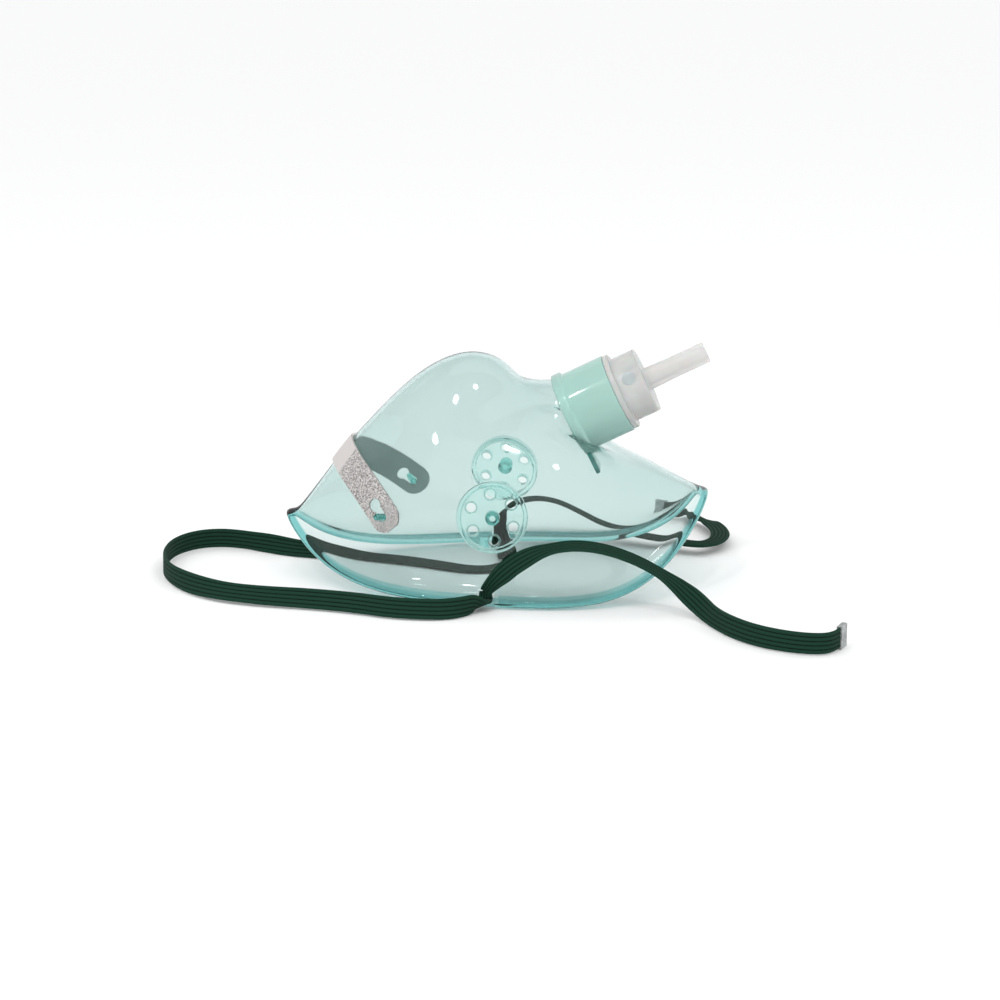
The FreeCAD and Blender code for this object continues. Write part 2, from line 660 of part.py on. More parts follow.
near_tag = strap_tag(NEAR_TAIL, "strap_tag_near")
far_tag = strap_tag(FAR_TAIL, "strap_tag_far")

# ---- checks, then one STEP file for each sub-part ----
doc.recompute()
for obj in doc.Objects:
    if "Invalid" in obj.State or "Error" in obj.State:
        raise RuntimeError(f"{obj.Name} failed: {obj.State}")
    if obj.TypeId == "Part::MultiFuse" and obj.Shape.Volume < max(piece.Shape.Volume for piece in obj.Shapes):
        raise RuntimeError(f"{obj.Name} has lost material")

os.makedirs("parts", exist_ok=True)
for obj in (mask_shell, clip, connector, loop, near_tail, far_tail, near_tag, far_tag):
    shape = obj.Shape
    if shape.isNull() or not shape.isValid():
        raise RuntimeError(f"{obj.Label} has no valid shape")
    box = shape.BoundBox
    print(obj.Label, len(shape.Solids), "solid", round(shape.Volume), "mm3",
          [round(x, 1) for x in (box.XMin, box.YMin, box.ZMin, box.XMax, box.YMax, box.ZMax)])
    shape.exportStep(f"parts/{obj.Label}.step")
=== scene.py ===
import json
import math

import bmesh
import bpy
from mathutils import Matrix, Vector


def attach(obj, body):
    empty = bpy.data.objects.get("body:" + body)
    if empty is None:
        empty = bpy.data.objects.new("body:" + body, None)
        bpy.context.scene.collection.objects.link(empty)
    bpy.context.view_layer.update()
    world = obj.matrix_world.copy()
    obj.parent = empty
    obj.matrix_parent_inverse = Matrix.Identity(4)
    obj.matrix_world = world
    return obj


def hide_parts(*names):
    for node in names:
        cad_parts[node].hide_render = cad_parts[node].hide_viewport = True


# The looks of an adult oxygen face mask. Lengths are in millimetres up to new_mesh, which makes metres.
MM = 0.001
SHARP_DEGREES = 40
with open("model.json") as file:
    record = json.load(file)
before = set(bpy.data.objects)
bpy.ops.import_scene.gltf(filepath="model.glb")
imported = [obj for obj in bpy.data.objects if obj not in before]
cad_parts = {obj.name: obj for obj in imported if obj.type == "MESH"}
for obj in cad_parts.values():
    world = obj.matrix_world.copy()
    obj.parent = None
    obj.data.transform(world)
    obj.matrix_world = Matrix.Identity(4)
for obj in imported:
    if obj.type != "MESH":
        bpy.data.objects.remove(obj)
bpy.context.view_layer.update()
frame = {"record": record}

swivel = frame["record"]["behaviour"]["joints"][0]
AXIS = Vector(swivel["axis"]).normalized()
DOWN = Vector((AXIS.z, 0, -AXIS.x))
MOUTH = Vector(swivel["pos_m"]) / MM
COLLAR_TURN = Matrix((DOWN, (0, 1, 0), AXIS)).transposed()


# ---- the camera comes first, because the cords are measured against its view ----
AZIMUTH = math.radians(3.5)
ELEVATION = math.radians(14)
DISTANCE = 750
LENS_MM = 90
TARGET = Vector((1.0, 0, 23.0))


def look_from(target, distance, azimuth, elevation):
    """A place and turn for something that looks at the target from that direction."""
    level = math.cos(elevation)
    back = Vector((math.sin(azimuth) * level, -math.cos(azimuth) * level, math.sin(elevation)))
    place = (target + back * distance) * MM
    return Matrix.Translation(place) @ back.to_track_quat("Z", "Y").to_matrix().to_4x4()


camera = bpy.data.objects.new("camera", bpy.data.cameras.new("camera"))
camera.data.lens = LENS_MM
camera.data.clip_start = 0.01
camera.matrix_world = look_from(TARGET, DISTANCE, AZIMUTH, ELEVATION)
bpy.context.collection.objects.link(camera)
bpy.context.scene.camera = camera


# ---- meshes ----
def new_mesh(name, points, faces, sharp_above=SHARP_DEGREES):
    """A smooth object from points in millimetres, with edges over that angle kept sharp."""
    mesh = bpy.data.meshes.new(name)
    mesh.from_pydata([Vector(p) * MM for p in points], [], faces)
    tidy = bmesh.new()
    tidy.from_mesh(mesh)
    bmesh.ops.recalc_face_normals(tidy, faces=tidy.faces)
    tidy.to_mesh(mesh)
    tidy.free()
    mesh.shade_smooth()
    mesh.set_sharp_from_angle(angle=math.radians(sharp_above))
    obj = bpy.data.objects.new(name, mesh)
    bpy.context.collection.objects.link(obj)
    return obj


def finished(obj):
    """Puts the modifiers' result into the object's own mesh."""
    depsgraph = bpy.context.evaluated_depsgraph_get()
    mesh = bpy.data.meshes.new_from_object(obj.evaluated_get(depsgraph))
    obj.modifiers.clear()
    obj.data = mesh
    mesh.shade_smooth()
    mesh.set_sharp_from_angle(angle=math.radians(SHARP_DEGREES))
    return obj


def cut_away(obj, tools):
    """The object without the space of the tools, which are used up."""
    for tool in tools:
        cutter = obj.modifiers.new("cut", "BOOLEAN")
        cutter.operation = "DIFFERENCE"
        cutter.solver = "EXACT"
        cutter.object = tool
    finished(obj)
    for tool in tools:
        bpy.data.objects.remove(tool)
    return obj


def joined(name, objects):
    """One object from several closed ones."""
    mesh = bmesh.new()
    for obj in objects:
        mesh.from_mesh(obj.data)
    whole = bpy.data.meshes.new(name)
    mesh.to_mesh(whole)
    mesh.free()
    for obj in objects:
        bpy.data.objects.remove(obj)
    whole.set_sharp_from_angle(angle=math.radians(SHARP_DEGREES))
    result = bpy.data.objects.new(name, whole)
    bpy.context.collection.objects.link(result)
    return result


def rounded(corners, radius, steps=3):
    """A closed outline with each corner (x, y) turned into a small arc."""
    outline = []
    count = len(corners)
    for i, corner in enumerate(corners):
        here = Vector(corner)
        before, after = Vector(corners[i - 1]) - here, Vector(corners[(i + 1) % count]) - here
        reach = min(radius, before.length * 0.45, after.length * 0.45)
        start, end = here + before.normalized() * reach, here + after.normalized() * reach
        for step in range(steps + 1):
            share = step / steps
            outline.append(start.lerp(here, share).lerp(here.lerp(end, share), share))
    return outline


def placed(points, matrix, origin):
    """Points turned by a matrix and moved to an origin."""
    return [origin + matrix @ Vector(p) for p in points]


def turned(name, corners, matrix, origin, radius=0.3, segments=96):
    """A closed outline of (radius, height), turned about the local Z axis."""
    outline = rounded(corners, radius)
    count = len(outline)
    points = []
    for step in range(segments):
        angle = 2 * math.pi * step / segments
        points += [(p.x * math.cos(angle), p.x * math.sin(angle), p.y) for p in outline]
    faces = [
        (s * count + i, s * count + (i + 1) % count,
         ((s + 1) % segments) * count + (i + 1) % count, ((s + 1) % segments) * count + i)
        for s in range(segments) for i in range(count)
    ]
    return new_mesh(name, placed(points, matrix, origin), faces)


def disc(name, radius, low, high, matrix, origin, at=(0.0, 0.0), edge=0.2, segments=64):
    """A closed round block with eased edges."""
    outline = rounded([(radius, low), (radius, high), (radius * 0.4, high), (radius * 0.4, low)], edge)[:8]
    points = []
    for p in outline:
        for step in range(segments):
            angle = 2 * math.pi * step / segments
            points.append((at[0] + p.x * math.cos(angle), at[1] + p.x * math.sin(angle), p.y))
    rings = len(outline)
    faces = [
        (r * segments + s, r * segments + (s + 1) % segments,
         (r + 1) * segments + (s + 1) % segments, (r + 1) * segments + s)
        for r in range(rings - 1) for s in range(segments)
    ]
    faces += [tuple(range(segments)), tuple(range((rings - 1) * segments, rings * segments))]
    return new_mesh(name, placed(points, matrix, origin), faces)


def block(name, low, high, matrix, origin, edge=0.3):
    """A closed box with eased edges."""
    corners = [(x, y, z) for x in (low[0], high[0]) for y in (low[1], high[1]) for z in (low[2], high[2])]
    faces = [(0, 1, 3, 2), (4, 6, 7, 5), (0, 4, 5, 1), (2, 3, 7, 6), (0, 2, 6, 4), (1, 5, 7, 3)]
    obj = new_mesh(name, placed(corners, matrix, origin), faces)
    if edge:
        ease = obj.modifiers.new("ease", "BEVEL")
        ease.width = edge * MM
        ease.segments = 3
        finished(obj)
    return obj


# ---- the moulded skin: the same net of points as the CAD shell, under a subdivision surface ----
COLUMNS = 32
BEAD_SHARE = "bead_share"
SKIN = 1.3
BEAD_RADIUS = 1.15
SMOOTHING_SHRINKS = 1.12
BEAD = BEAD_RADIUS * SMOOTHING_SHRINKS
COLLAR_RADIUS = 12.0
COLLAR_BORE = 10.7
COLLAR_LENGTH = 13.5
BASE_RING = 2.6
NECK = COLLAR_RADIUS - SKIN / 2 - 0.15
ROOT = MOUTH - AXIS * (COLLAR_LENGTH + 1.0)

# Each ring: (x, z) at the nose end, (x, y, z) at the cheek, (x, z) at the chin end,
# how late it rises to the nose and to the chin, and how pointed its nose end is.
RINGS = [
    ((-62.7, 18.9), (14.0, 37.6, 1.75), (62.2, 27.0), 6.0, 3.5, 1.45),
    ((-61.6, 19.2), (14.0, 35.3, 2.7), (61.2, 27.4), 6.0, 3.5, 1.45),
    ((-60.0, 19.8), (14.0, 32.9, 4.9), (60.2, 28.2), 5.6, 3.4, 1.4),
    ((-56.6, 24.0), (13.5, 32.0, 10.0), (57.4, 29.2), 4.6, 3.1, 1.3),
    ((-50.6, 31.8), (12.0, 31.4, 17.0), (52.8, 31.4), 3.8, 2.9, 1.2),
    ((-44.4, 40.2), (10.0, 30.2, 24.5), (48.5, 33.5), 3.3, 2.7, 1.15),
    ((-37.0, 48.2), (9.0, 28.4, 31.5), (44.4, 35.5), 2.9, 2.5, 1.1),
    ((-29.0, 56.6), (9.0, 25.8, 38.0), (39.8, 36.8), 2.6, 2.3, 1.05),
    ((-19.4, 64.6), (10.0, 22.4, 43.0), (36.4, 38.2), 2.4, 2.1, 1.0),
    ((-8.0, 69.0), (12.0, 18.8, 46.6), (33.6, 39.4), 2.2, 1.9, 1.0),
    ((1.6, 66.0), (14.6, 15.6, 48.4), (31.4, 39.8), 1.9, 1.7, 1.0),
    ((5.4, 60.2), (17.2, 13.6, 49.0), (29.8, 39.2), 1.5, 1.4, 1.0),
    ((10.6, 59.2), (19.4, 12.5, 49.2), (28.8, 38.6), 1.25, 1.2, 1.0),
]


def ring_point(ring, column):
    """A ring's point in one column. Columns run round from the chin end."""
    (nose_x, nose_z), (side_x, side_y, side_z), (chin_x, chin_z), late_nose, late_chin, pointed = ring
    turn = 2 * math.pi * column / COLUMNS
    along, across = math.cos(turn), math.sin(turn)
    end_x, end_z, late, sharp = chin_x, chin_z, late_chin, 1.0
    if along < 0:
        end_x, end_z, late, sharp = nose_x, nose_z, late_nose, pointed
    return Vector((
        side_x + (end_x - side_x) * abs(along),
        side_y * math.copysign(abs(across) ** sharp, across),
        side_z + (end_z - side_z) * abs(along) ** late,
    ))


def neck_point(along, column):
    """A point of the round neck, that far along the collar's axis from its root."""
    turn = 2 * math.pi * column / COLUMNS
    return ROOT + AXIS * along + DOWN * (NECK * math.cos(turn)) + Vector((0, NECK * math.sin(turn), 0))


def skin_net():
    """Closed rows of points, outside, round the bead and back inside, and the bead's first row."""
    rows = [[ring_point(ring, column) for column in range(COLUMNS)] for ring in RINGS]
    rows += [[neck_point(along, column) for column in range(COLUMNS)] for along in (-2.2, 0.0)]
    normals = []
    for i, row in enumerate(rows):
        below, above = rows[max(i - 1, 0)], rows[min(i + 1, len(rows) - 1)]
        normals.append([
            (row[(j + 1) % COLUMNS] - row[j - 1]).cross(above[j] - below[j]).normalized()
            for j in range(COLUMNS)
        ])
    bead = []
    for side, reach in ((1, -0.5), (1, 1.1), (-1, 1.1), (-1, -0.5)):
        bead.append([
            p + n * (side * BEAD) + (p - q).normalized() * (reach * BEAD)
            for p, q, n in zip(rows[0], rows[1], normals[0])
        ])
    outside = [[p + n * (SKIN / 2) for p, n in zip(row, line)] for row, line in zip(rows, normals)]
    inside = [[p - n * (SKIN / 2) for p, n in zip(row, line)] for row, line in zip(rows, normals)]
    return outside[:1:-1] + bead + inside[2:], len(outside) - 2


def skin_object():
    """The smooth skin, with an attribute that is 1 in the bead and 0 elsewhere."""
    net, bead_start = skin_net()
    count = len(net)
    points = [p for row in net for p in row]
    faces = [
        (i * COLUMNS + j, i * COLUMNS + (j + 1) % COLUMNS,
         (i + 1) % count * COLUMNS + (j + 1) % COLUMNS, (i + 1) % count * COLUMNS + j)
        for i in range(count) for j in range(COLUMNS)
    ]
    obj = new_mesh("shell_skin", points, faces, 180)
    in_bead = obj.data.attributes.new(BEAD_SHARE, "FLOAT", "POINT")
    in_bead.data.foreach_set("value", [
        1.0 if bead_start <= i < bead_start + 4 else 0.0 for i in range(count) for _ in range(COLUMNS)
    ])
    smooth = obj.modifiers.new("smooth", "SUBSURF")
    smooth.levels = smooth.render_levels = 3
    return finished(obj)


# ---- materials ----
RIB_HEIGHT_SHADE = "rib_height_shade"
CLIP_RIDGE_HALF_M = 0.0085
TEAL = (0.35, 0.82, 0.80)
BEAD_TEAL = (0.24, 0.58, 0.58)


def material(name, colour, roughness, **sockets):
    """A new material with one Principled shader. Sockets are given by name, with _ for a space."""
    made = bpy.data.materials.new(name)
    made.use_nodes = True
    shader = made.node_tree.nodes["Principled BSDF"]
    shader.inputs["Base Color"].default_value = (*colour, 1)
    shader.inputs["Roughness"].default_value = roughness
    for socket, value in sockets.items():
        shader.inputs[socket.replace("_", " ")].default_value = value
    return made


def noise(tree, scale, detail=3.0):
    """A noise value over the object's own space."""
    place = tree.nodes.new("ShaderNodeTexCoord")
    texture = tree.nodes.new("ShaderNodeTexNoise")
    texture.inputs["Scale"].default_value = scale
    texture.inputs["Detail"].default_value = detail
    tree.links.new(place.outputs["Object"], texture.inputs["Vector"])
    return texture.outputs["Fac"]


def shade_by(made, source, low, high, start=0.3, end=0.7, socket="Base Color"):
    """Colours the shader between two colours by a value."""
    tree = made.node_tree
    ramp = tree.nodes.new("ShaderNodeValToRGB")
    ramp.color_ramp.elements[0].position, ramp.color_ramp.elements[1].position = start, end
    ramp.color_ramp.elements[0].color, ramp.color_ramp.elements[1].color = (*low, 1), (*high, 1)
    tree.links.new(source, ramp.inputs["Fac"])
    tree.links.new(ramp.outputs["Color"], tree.nodes["Principled BSDF"].inputs[socket])


def bump_by(made, source, distance, strength):
    """Raises the surface by a value."""
    tree = made.node_tree
    bump = tree.nodes.new("ShaderNodeBump")
    bump.inputs["Distance"].default_value = distance
    bump.inputs["Strength"].default_value = strength
    tree.links.new(source, bump.inputs["Height"])
    tree.links.new(bump.outputs["Normal"], tree.nodes["Principled BSDF"].inputs["Normal"])


def y_part(tree, kind, output):
    """The Y component of a new node's vector."""
    source = tree.nodes.new(kind)
    split = tree.nodes.new("ShaderNodeSeparateXYZ")
    tree.links.new(source.outputs[output], split.inputs["Vector"])
    return split.outputs["Y"]


def maths(tree, operation, first, second=0.0):
    """A maths node's result from a socket and, where it takes two values, a number or another socket."""
    node = tree.nodes.new("ShaderNodeMath")
    node.operation = operation
    tree.links.new(first, node.inputs[0])
    if isinstance(second, float):
        node.inputs[1].default_value = second
    else:
        tree.links.new(second, node.inputs[1])
    return node.outputs["Value"]


def mixed(tree, share, first, second):
    """A blend of two colours, each a colour or a socket, by a socket's value."""
    mix = tree.nodes.new("ShaderNodeMix")
    mix.data_type = "RGBA"
    tree.links.new(share, mix.inputs["Factor"])
    for socket, source in zip([socket for socket in mix.inputs if socket.type == "RGBA"], (first, second)):
        if isinstance(source, tuple):
            socket.default_value = (*source, 1)
        else:
            tree.links.new(source, socket)
    return [socket for socket in mix.outputs if socket.type == "RGBA"][0]


def clear_vinyl(name, pale, deep, depth_colour, density, roughness=0.04, clearness=1.0):
    """See-through vinyl: a pale tint that varies a little, and is deeper through more material."""
    made = material(
        name, pale, roughness, Transmission_Weight=clearness, IOR=1.2, Specular_IOR_Level=0.6,
        Coat_Weight=0.45, Coat_Roughness=0.03,
    )
    tree = made.node_tree
    shade_by(made, noise(tree, 18), deep, pale)
    bump_by(made, noise(tree, 45, 1.0), 0.0006, 0.35)
    inside = tree.nodes.new("ShaderNodeVolumeAbsorption")
    inside.inputs["Color"].default_value = (*depth_colour, 1)
    inside.inputs["Density"].default_value = density
    tree.links.new(inside.outputs["Volume"], tree.nodes["Material Output"].inputs["Volume"])
    return made


def deeper_at_bead(made):
    """The same vinyl with a deeper tint in the rolled rim."""
    tree = made.node_tree
    colour = tree.nodes["Principled BSDF"].inputs["Base Color"]
    share = tree.nodes.new("ShaderNodeAttribute")
    share.attribute_name = BEAD_SHARE
    narrow = tree.nodes.new("ShaderNodeMapRange")
    narrow.inputs["From Min"].default_value = 0.8
    tree.links.new(share.outputs["Fac"], narrow.inputs["Value"])
    tinted = mixed(tree, narrow.outputs["Result"], colour.links[0].from_socket, BEAD_TEAL)
    tree.links.new(tinted, colour)
    return made


def milky_plastic():
    """Cloudy white plastic that lets some light through."""
    made = material(
        "milky_plastic", (0.84, 0.84, 0.83), 0.22, Transmission_Weight=0.55, IOR=1.35,
        Subsurface_Weight=0.3, Subsurface_Scale=0.003,
    )
    shade_by(made, noise(made.node_tree, 90), (0.80, 0.80, 0.79), (0.89, 0.89, 0.88))
    bump_by(made, noise(made.node_tree, 700), 0.0001, 0.3)
    return made


def clip_metal():
    """Matt aluminium: finely mottled outside, smooth and pale over the ridge of the nose, and smooth
    underneath, where the pale colour is painted light on a side that lies in shade.
    """
    made = material("clip_metal", (0.6, 0.59, 0.58), 0.5, Metallic=0.0)
    tree = made.node_tree
    grain = noise(tree, 3700, 0.0)
    shade_by(made, grain, (0.09, 0.083, 0.08), (0.68, 0.65, 0.64), 0.37, 0.63)
    bump_by(made, grain, 0.00008, 0.4)
    mottled = tree.nodes["Principled BSDF"].inputs["Base Color"].links[0].from_socket
    place = y_part(tree, "ShaderNodeTexCoord", "Object")
    facing = y_part(tree, "ShaderNodeNewGeometry", "Normal")
    off_ridge = maths(tree, "GREATER_THAN", maths(tree, "ABSOLUTE", place), CLIP_RIDGE_HALF_M)
    outside = maths(tree, "GREATER_THAN", maths(tree, "MULTIPLY", place, facing), 0.0)
    # Painted light: the inner face lies in shade and gets a paler colour than the outer face's smooth band.
    smooth = mixed(tree, outside, (0.86, 0.84, 0.83), (0.55, 0.52, 0.51))
    colour = mixed(tree, maths(tree, "MULTIPLY", off_ridge, outside), smooth, mottled)
    tree.links.new(colour, tree.nodes["Principled BSDF"].inputs["Base Color"])
    return made


def knitted_elastic():
    """Very dark green elastic with a fine knit, and painted shade that goes near black in the grooves
    between its ribs.
    """
    made = material("knitted_elastic", (0.01, 0.04, 0.026), 0.9, Sheen_Weight=0.02, Specular_IOR_Level=0.1)
    tree = made.node_tree
    knit = noise(tree, 2200, 2.0)
    rib = tree.nodes.new("ShaderNodeAttribute")
    rib.attribute_name = RIB_HEIGHT_SHADE
    # Painted shade: a low rib height darkens the colour towards near black in the grooves between the ribs,
    # and the knit noise varies it at random.
    height = tree.nodes.new("ShaderNodeMath")
    height.operation = "MULTIPLY_ADD"
    height.inputs[1].default_value = 0.45
    tree.links.new(knit, height.inputs[0])
    tree.links.new(rib.outputs["Fac"], height.inputs[2])
    shade_by(made, height.outputs["Value"], (0.0006, 0.003, 0.002), (0.010, 0.040, 0.025), 0.3, 1.1)
    bump_by(made, knit, 0.0002, 0.6)
    return made


def tag_metal():
    """Dull grey metal with a fine grain."""
    made = material("tag_metal", (0.35, 0.37, 0.37), 0.5, Metallic=0.8)
    grain = noise(made.node_tree, 900, 3.0)
    shade_by(made, grain, (0.22, 0.24, 0.24), (0.50, 0.52, 0.52))
    bump_by(made, grain, 0.0001, 0.3)
    return made


MATERIALS = {
    "vinyl": deeper_at_bead(clear_vinyl("clear_vinyl", (0.83, 0.88, 0.87), (0.79, 0.85, 0.84), TEAL, 80)),
    "port": clear_vinyl("port_vinyl", (0.76, 0.90, 0.88), (0.70, 0.87, 0.845), TEAL, 70),
    "stud": clear_vinyl("stud_vinyl", (0.42, 0.78, 0.74), (0.30, 0.70, 0.66), TEAL, 120),
    "tab": clear_vinyl("tab_vinyl", (0.16, 0.50, 0.46), (0.09, 0.42, 0.38), TEAL, 200, 0.1, 0.7),
    "collar": clear_vinyl("collar_vinyl", (0.53, 0.78, 0.71), (0.42, 0.70, 0.63), TEAL, 40, 0.2, 0.4),
    "milky": milky_plastic(),
    "clip": clip_metal(),
    "elastic": knitted_elastic(),
    "tag": tag_metal(),
}


def dressed(obj, surface, body="mask"):
    """Gives a piece its material and its body."""
    obj.data.materials.clear()
    obj.data.materials.append(MATERIALS[surface])
    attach(obj, body)
    return obj


# ---- the exhalation ports ----
PORT_CENTRE = Vector((0.6, 31.0, 25.6))
PORT_AXIS = Vector((0.08, 0.985, 0.15)).normalized()
PORT_RADIUS = 10.35
PORT_RING = 1.45
PORT_HEIGHT = 3.6
PORT_PLATE = 1.4
PORT_LAP = 0.4
HOLE_COUNT = 6
HOLE_RADIUS = 1.4
HOLE_CIRCLE = 6.7
FIRST_HOLE_DEGREES = 34.5
HOLE_RIM = 0.5
HOLE_RIM_HEIGHT = 0.35
CRISP = 0.01


def port_frame(side):
    """A port's turn and middle. Its Z points out of the cheek."""
    axis = Vector((PORT_AXIS.x, side * PORT_AXIS.y, PORT_AXIS.z))
    up = Vector((0, 0, 1))
    up = (up - axis * up.dot(axis)).normalized()
    origin = Vector((PORT_CENTRE.x, side * PORT_CENTRE.y, PORT_CENTRE.z))
    return Matrix((up.cross(axis), up, axis)).transposed(), origin


def hole_places():
    """The middles of a port's holes, in its own frame."""
    for number in range(HOLE_COUNT):
        angle = math.radians(FIRST_HOLE_DEGREES + 360 / HOLE_COUNT * number)
        yield HOLE_CIRCLE * math.cos(angle), HOLE_CIRCLE * math.sin(angle)


def exhalation_port(side, word):
    """Two pieces: a raised ring with its plate of rimmed holes, and the stud with its small round head."""
    matrix, origin = port_frame(side)
    inner = PORT_RADIUS - PORT_RING
    half, plate = PORT_HEIGHT / 2, PORT_PLATE / 2
    outline = [(inner, -half), (PORT_RADIUS, -half), (PORT_RADIUS, half), (inner, half)]
    ring = turned("ring", outline, matrix, origin, 0.5)
    holes = [disc("hole", HOLE_RADIUS, -3, 3, matrix, origin, at, CRISP, 24) for at in hole_places()]
    whole = disc("plate", inner + PORT_LAP, -plate, plate, matrix, origin, edge=0.1, segments=96)
    perforated = cut_away(whole, holes)
    wide, high = HOLE_RADIUS + HOLE_RIM, plate + HOLE_RIM_HEIGHT
    outline = [(HOLE_RADIUS, plate), (wide, plate), (wide, high), (HOLE_RADIUS, high)]
    rims = [
        turned("rim", outline, matrix, origin + matrix @ Vector((*at, 0)), 0.12, 24) for at in hole_places()
    ]
    outline = [(0.9, plate), (2.2, plate), (2.0, 4.6), (1.5, 5.4), (0.9, 5.4)]
    stud = turned("stud", outline, matrix, origin, 0.25, 48)
    stud.name = f"port_stud_{word}"
    port = joined(f"exhalation_port_{word}", [ring, perforated] + rims)
    return [dressed(port, "port"), dressed(stud, "stud")]


# ---- the shell ----
SIDES = ((-1, "near"), (1, "far"))
SLOT_X = -1.0
SLOT_HALF = 2.6
SLOT_TOP = 5.4
SLOT_REACH = (33.05, 36.45)
BASE_RING_RADIUS = 12.9
TAB_HALF = 6
TAB_REACH = 18.5


def shell_tools():
    """What is cut out of the skin: the ports' places, the collar's bore and the strap slots."""
    tools = []
    for side, word in SIDES:
        matrix, origin = port_frame(side)
        around = PORT_RADIUS - PORT_LAP
        tools.append(disc("port_place", around, -5, 5, matrix, origin, edge=CRISP, segments=96))
        lower, upper = sorted(side * reach for reach in SLOT_REACH)
        low, high = (SLOT_X - SLOT_HALF, lower, 0), (SLOT_X + SLOT_HALF, upper, SLOT_TOP)
        tools.append(block("slot_place", low, high, Matrix.Identity(3), Vector(), 0))
    below = -COLLAR_LENGTH - BASE_RING - 0.5
    tools.append(disc("bore", COLLAR_BORE, below, 1, COLLAR_TURN, MOUTH, edge=CRISP, segments=96))
    return tools


skin = dressed(cut_away(skin_object(), shell_tools()), "vinyl")
ports = [piece for side, word in SIDES for piece in exhalation_port(side, word)]

foot = -COLLAR_LENGTH - BASE_RING
collar = turned(
    "collar",
    [(COLLAR_BORE, foot), (BASE_RING_RADIUS, foot), (BASE_RING_RADIUS, -COLLAR_LENGTH),
     (COLLAR_RADIUS, -COLLAR_LENGTH + 0.6), (COLLAR_RADIUS, 0), (COLLAR_BORE, 0)],
    COLLAR_TURN, MOUTH, 0.35, 128,
)
dressed(collar, "collar")
tab_low, tab_high = (11.4, -TAB_HALF, foot + 0.3), (TAB_REACH, TAB_HALF, foot + 1.6)
tab = block("root_tab", tab_low, tab_high, COLLAR_TURN, MOUTH, 0.35)
dressed(tab, "tab")


# ---- the swivel connector ----
PLUG_RADIUS = 10.64
PLUG_LENGTH = 11
CONNECTOR_WALL = 1.2
FLANGE_RADIUS = 11.7
FLANGE = 1.7
CAP_RADIUS = 9.85
CAP_END = FLANGE + 7.6
NOZZLE_BORE = 1.7
NOZZLE_RADIUS = 3.1
NOZZLE_ROOT = 3.4
NOZZLE_TIP = CAP_END + 19.2
RIB_HALF = 0.5
MARK_DEGREES = -115


def swivel_connector():
    """Plug, stop flange, cap and nozzle in one, with four ribs in the hollow and a round moulding mark."""
    inside = CAP_END - CONNECTOR_WALL
    plug_bore = PLUG_RADIUS - CONNECTOR_WALL
    cap_bore = CAP_RADIUS - CONNECTOR_WALL
    body = turned("body", [
        (NOZZLE_BORE, NOZZLE_TIP), (NOZZLE_RADIUS, NOZZLE_TIP), (NOZZLE_RADIUS, CAP_END + 8),
        (NOZZLE_ROOT, CAP_END), (CAP_RADIUS, CAP_END), (CAP_RADIUS, FLANGE), (FLANGE_RADIUS, FLANGE),
        (FLANGE_RADIUS, 0), (PLUG_RADIUS, 0), (PLUG_RADIUS, -PLUG_LENGTH), (plug_bore, -PLUG_LENGTH),
        (plug_bore, -CONNECTOR_WALL), (cap_bore, 0), (cap_bore, inside), (NOZZLE_BORE, inside),
    ], COLLAR_TURN, MOUTH, 0.4, 128)
    pieces = [body]
    for angle in (45, 135, 225, 315):
        turn = COLLAR_TURN @ Matrix.Rotation(math.radians(angle), 3, "Z")
        low, high = (1.9, -RIB_HALF, inside - 3.8), (9.3, RIB_HALF, inside + 0.1)
        pieces.append(block("rib", low, high, turn, MOUTH, 0.15))
    mark = COLLAR_TURN @ Matrix.Rotation(math.radians(MARK_DEGREES), 3, "Z")
    facing = mark @ Matrix.Rotation(math.radians(90), 3, "Y")
    centre = MOUTH + mark @ Vector((9.7, 0, 5.4))
    pieces.append(disc("mark", 2.0, -0.4, 0.2, facing, centre, edge=0.12, segments=48))
    return joined("swivel_connector_body", pieces)


connector = dressed(swivel_connector(), "milky", "connector")
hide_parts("swivel_connector")


# ---- the clip and the tags, which keep their CAD shapes, and the pegs, which hold the clip ----
def cad_node(name):
    """A node of the CAD model, as it came with the frame."""
    return bpy.data.objects[name]


def dress_cad(name, surface, edge):
    """Gives a CAD node that stays its material and eased edges."""
    obj = cad_node(name)
    obj.data.materials.clear()
    obj.data.materials.append(MATERIALS[surface])
    ease = obj.modifiers.new("ease", "BEVEL")
    ease.width = edge * MM
    ease.segments = 2
    ease.limit_method = "ANGLE"


dress_cad("nose_clip", "clip", 0.12)
for name in ("strap_tag_near", "strap_tag_far"):
    dress_cad(name, "tag", 0.3)


def surface_at(point, direction):
    """Where a line from far outside meets the skin, and the outward direction there."""
    far_out = (Vector(point) + Vector(direction) * 40) * MM
    _, place, normal, _ = skin.ray_cast(far_out, -Vector(direction))
    return place / MM, normal


PEGS = (("near", (-32.0, -21.5, 22.7)), ("far", (-26.7, 21.5, 22.8)))
PEG_OUTLINE = [(0.3, -0.5), (1.05, -0.5), (1.05, 3.6), (0.75, 4.7), (0.3, 4.7)]
pegs = []
for word, guide in PEGS:
    outward = Vector((-0.45, 1 if guide[1] > 0 else -1, 0.25)).normalized()
    place, normal = surface_at(guide, outward)
    turn = normal.to_track_quat("Z", "Y").to_matrix()
    peg = turned("peg", PEG_OUTLINE, turn, place, 0.25, 32)
    peg.name = f"clip_peg_{word}"
    pegs.append(dressed(peg, "stud"))

for piece in [skin, collar, tab] + ports + pegs:
    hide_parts("mask_shell")


# ---- the head strap: one flat ribbed band, in three stretches ----
# The routes are those of the CAD tubes, with two differences. The common point at the near slot is 2.6 mm
# lower than theirs, with the points beside it moved to suit. Where the band lies flat under the shell, its
# middle is at FLAT and theirs is at LEVEL, which is half the band's width.
NEAR_SLOT = (SLOT_X, -35.4, 4.6)
FAR_SLOT = (SLOT_X, 35.3, 7.2)
LEVEL = 3.0
FLAT = 0.7
STRAP_WIDTH = 6.0
STRAP_GAUGE = 0.9
RIBS = 5
RIB_DEPTH = 0.2

